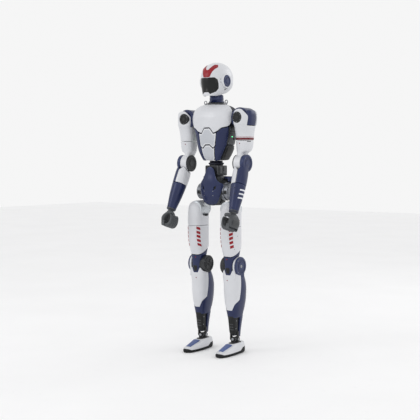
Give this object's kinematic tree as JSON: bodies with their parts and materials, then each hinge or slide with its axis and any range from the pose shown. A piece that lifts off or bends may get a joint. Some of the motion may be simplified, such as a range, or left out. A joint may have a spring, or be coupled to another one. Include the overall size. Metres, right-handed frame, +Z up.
{
  "type": "humanoid robot",
  "caption": "Standing full-size humanoid robot with jointed head, waist, arms, closing fists and legs under rounded armour-like covers.",
  "frame": {"origin": "on the floor, under the middle of the robot's bounding box", "axes": "+Z is up, the robot faces -Y and its left side is +X"},
  "size_m": [0.5096, 0.3414, 1.71],
  "materials": {
    "white_cover": "satin white paint",
    "grey_cover": "satin light grey paint",
    "navy_cover": "satin metallic navy paint",
    "charcoal_frame": "charcoal moulded cover over the motors",
    "hand_rubber": "matt dark grey moulded rubber",
    "black_visor": "gloss smoked black",
    "black_plastic": "matt black",
    "dark_steel": "dark steel",
    "sole_rubber": "matt black rubber",
    "red_trim": "gloss red trim",
    "tongue_mesh": "blue ribbed textile"
  },
  "bodies": {
    "pelvis": {"pelvis_frame": "charcoal_frame", "pelvis_front_cover": "navy_cover", "pelvis_rear_cover": "navy_cover", "waist_unit": "charcoal_frame"},
    "torso": {"torso_frame": "charcoal_frame", "chest_cover": "white_cover", "belly_plates": "grey_cover", "flank_covers": "navy_cover", "back_cover": "navy_cover", "side_modules": "charcoal_frame", "lifting_eyes": "dark_steel"},
    "neck": {"neck_column": "navy_cover"},
    "head": {"helmet": "white_cover", "visor": "black_visor", "ear_discs": "navy_cover"},
    "left_shoulder": {"left_shoulder_housing": "navy_cover"},
    "left_arm": {"left_shoulder_yoke": "white_cover", "left_shoulder_cap": "navy_cover"},
    "left_elbow_unit": {"left_upper_arm": "white_cover", "left_elbow_disc": "charcoal_frame"},
    "left_forearm": {"left_forearm_fork": "navy_cover", "left_forearm_collar": "white_cover"},
    "left_sleeve": {"left_forearm_sleeve": "navy_cover"},
    "left_hand": {"left_palm": "hand_rubber"},
    "left_finger_set": {"left_fingers": "hand_rubber"},
    "left_hip": {"left_hip_bracket": "charcoal_frame"},
    "left_thigh": {"left_hip_motor": "grey_cover", "left_thigh_upper": "white_cover"},
    "left_knee_unit": {"left_thigh_lower": "white_cover", "left_knee_bracket": "navy_cover", "left_knee_motor": "charcoal_frame"},
    "left_shin": {"left_shin_shell": "white_cover", "left_calf_shell": "navy_cover", "left_ankle_strut": "black_plastic"},
    "left_ankle": {"left_ankle_cross": "dark_steel"},
    "left_foot": {"left_foot_shell": "white_cover", "left_foot_sole": "sole_rubber"},
    "right_shoulder": {"right_shoulder_housing": "navy_cover"},
    "right_arm": {"right_shoulder_yoke": "white_cover", "right_shoulder_cap": "navy_cover"},
    "right_elbow_unit": {"right_upper_arm": "white_cover", "right_elbow_disc": "charcoal_frame"},
    "right_forearm": {"right_forearm_fork": "navy_cover", "right_forearm_collar": "white_cover"},
    "right_sleeve": {"right_forearm_sleeve": "navy_cover"},
    "right_hand": {"right_palm": "hand_rubber"},
    "right_finger_set": {"right_fingers": "hand_rubber"},
    "right_hip": {"right_hip_bracket": "charcoal_frame"},
    "right_thigh": {"right_hip_motor": "grey_cover", "right_thigh_upper": "white_cover"},
    "right_knee_unit": {"right_thigh_lower": "white_cover", "right_knee_bracket": "navy_cover", "right_knee_motor": "charcoal_frame"},
    "right_shin": {"right_shin_shell": "white_cover", "right_calf_shell": "navy_cover", "right_ankle_strut": "black_plastic"},
    "right_ankle": {"right_ankle_cross": "dark_steel"},
    "right_foot": {"right_foot_shell": "white_cover", "right_foot_sole": "sole_rubber"}
  },
  "joints": [
    {"name": "waist_yaw", "type": "hinge", "parent": "pelvis", "child": "torso", "pos_m": [0, 0.0557, 1.114], "axis": [0, 0, 1], "range_deg": [-90, 90]},
    {"name": "neck_yaw", "type": "hinge", "parent": "torso", "child": "neck", "pos_m": [0, 0.0587, 1.475], "axis": [0, 0, 1], "range_deg": [-60, 60]},
    {"name": "head_nod", "type": "hinge", "parent": "neck", "child": "head", "pos_m": [0, 0.0617, 1.548], "axis": [1, 0, 0], "range_deg": [-25, 10]},
    {"name": "left_shoulder_pitch", "type": "hinge", "parent": "torso", "child": "left_shoulder", "pos_m": [0.17, 0.0617, 1.382], "axis": [-1, 0, 0], "range_deg": [-60, 170]},
    {"name": "right_shoulder_pitch", "type": "hinge", "parent": "torso", "child": "right_shoulder", "pos_m": [-0.17, 0.0617, 1.382], "axis": [-1, 0, 0], "range_deg": [-60, 170]},
    {"name": "left_shoulder_roll", "type": "hinge", "parent": "left_shoulder", "child": "left_arm", "pos_m": [0.189, 0.0617, 1.382], "axis": [0, -1, 0], "range_deg": [-2, 75]},
    {"name": "right_shoulder_roll", "type": "hinge", "parent": "right_shoulder", "child": "right_arm", "pos_m": [-0.189, 0.0617, 1.382], "axis": [0, 1, 0], "range_deg": [-2, 75]},
    {"name": "left_arm_yaw", "type": "hinge", "parent": "left_arm", "child": "left_elbow_unit", "pos_m": [0.2, 0.0557, 1.25], "axis": [0, 0, 1], "range_deg": [-30, 90]},
    {"name": "right_arm_yaw", "type": "hinge", "parent": "right_arm", "child": "right_elbow_unit", "pos_m": [-0.2, 0.0557, 1.25], "axis": [0, 0, -1], "range_deg": [-30, 90]},
    {"name": "left_elbow", "type": "hinge", "parent": "left_elbow_unit", "child": "left_forearm", "pos_m": [0.2, 0.0317, 1.12], "axis": [-1, 0, 0], "range_deg": [-22, 70]},
    {"name": "right_elbow", "type": "hinge", "parent": "right_elbow_unit", "child": "right_forearm", "pos_m": [-0.2, 0.0317, 1.12], "axis": [-1, 0, 0], "range_deg": [-22, 70]},
    {"name": "left_forearm_yaw", "type": "hinge", "parent": "left_forearm", "child": "left_sleeve", "pos_m": [0.211, -0.02636, 0.993], "axis": [0.0714, -0.4147, -0.9072], "range_deg": [-90, 90]},
    {"name": "right_forearm_yaw", "type": "hinge", "parent": "right_forearm", "child": "right_sleeve", "pos_m": [-0.211, -0.02636, 0.993], "axis": [0.0714, 0.4147, 0.9072], "range_deg": [-90, 90]},
    {"name": "left_wrist", "type": "hinge", "parent": "left_sleeve", "child": "left_hand", "pos_m": [0.22242, -0.09271, 0.84785], "axis": [0.9969, 0, 0.0785], "range_deg": [-18, 18]},
    {"name": "right_wrist", "type": "hinge", "parent": "right_sleeve", "child": "right_hand", "pos_m": [-0.22242, -0.09271, 0.84785], "axis": [0.9969, 0, -0.0785], "range_deg": [-18, 18]},
    {"name": "left_fingers", "type": "hinge", "parent": "left_hand", "child": "left_finger_set", "pos_m": [0.23007, -0.1237, 0.75477], "axis": [-0.0332, -0.9611, 0.2743], "range_deg": [0, 70]},
    {"name": "right_fingers", "type": "hinge", "parent": "right_hand", "child": "right_finger_set", "pos_m": [-0.23007, -0.1237, 0.75477], "axis": [-0.0332, 0.9611, -0.2743], "range_deg": [0, 70]},
    {"name": "left_hip_pitch", "type": "hinge", "parent": "pelvis", "child": "left_hip", "pos_m": [0.117, 0.0567, 0.955], "axis": [-1, 0, 0], "range_deg": [-20, 95]},
    {"name": "right_hip_pitch", "type": "hinge", "parent": "pelvis", "child": "right_hip", "pos_m": [-0.117, 0.0567, 0.955], "axis": [-1, 0, 0], "range_deg": [-20, 95]},
    {"name": "left_hip_roll", "type": "hinge", "parent": "left_hip", "child": "left_thigh", "pos_m": [0.111, 0.0567, 0.853], "axis": [0, -1, 0], "range_deg": [-8, 30]},
    {"name": "right_hip_roll", "type": "hinge", "parent": "right_hip", "child": "right_thigh", "pos_m": [-0.111, 0.0567, 0.853], "axis": [0, -1, 0], "range_deg": [-30, 8]},
    {"name": "left_hip_yaw", "type": "hinge", "parent": "left_thigh", "child": "left_knee_unit", "pos_m": [0.117, 0.0367, 0.752], "axis": [0, 0, 1], "range_deg": [-30, 30]},
    {"name": "right_hip_yaw", "type": "hinge", "parent": "right_thigh", "child": "right_knee_unit", "pos_m": [-0.117, 0.0367, 0.752], "axis": [0, 0, 1], "range_deg": [-30, 30]},
    {"name": "left_knee", "type": "hinge", "parent": "left_knee_unit", "child": "left_shin", "pos_m": [0.117, 0.0617, 0.52], "axis": [1, 0, 0], "range_deg": [0, 110]},
    {"name": "right_knee", "type": "hinge", "parent": "right_knee_unit", "child": "right_shin", "pos_m": [-0.117, 0.0617, 0.52], "axis": [1, 0, 0], "range_deg": [0, 110]},
    {"name": "left_ankle_pitch", "type": "hinge", "parent": "left_shin", "child": "left_ankle", "pos_m": [0.117, 0.0817, 0.084], "axis": [1, 0, 0], "range_deg": [-30, 40]},
    {"name": "right_ankle_pitch", "type": "hinge", "parent": "right_shin", "child": "right_ankle", "pos_m": [-0.117, 0.0817, 0.084], "axis": [1, 0, 0], "range_deg": [-30, 40]},
    {"name": "left_ankle_roll", "type": "hinge", "parent": "left_ankle", "child": "left_foot", "pos_m": [0.117, 0.0817, 0.084], "axis": [0, -1, 0], "range_deg": [-15, 15]},
    {"name": "right_ankle_roll", "type": "hinge", "parent": "right_ankle", "child": "right_foot", "pos_m": [-0.117, 0.0817, 0.084], "axis": [0, 1, 0], "range_deg": [-15, 15]}
  ]
}
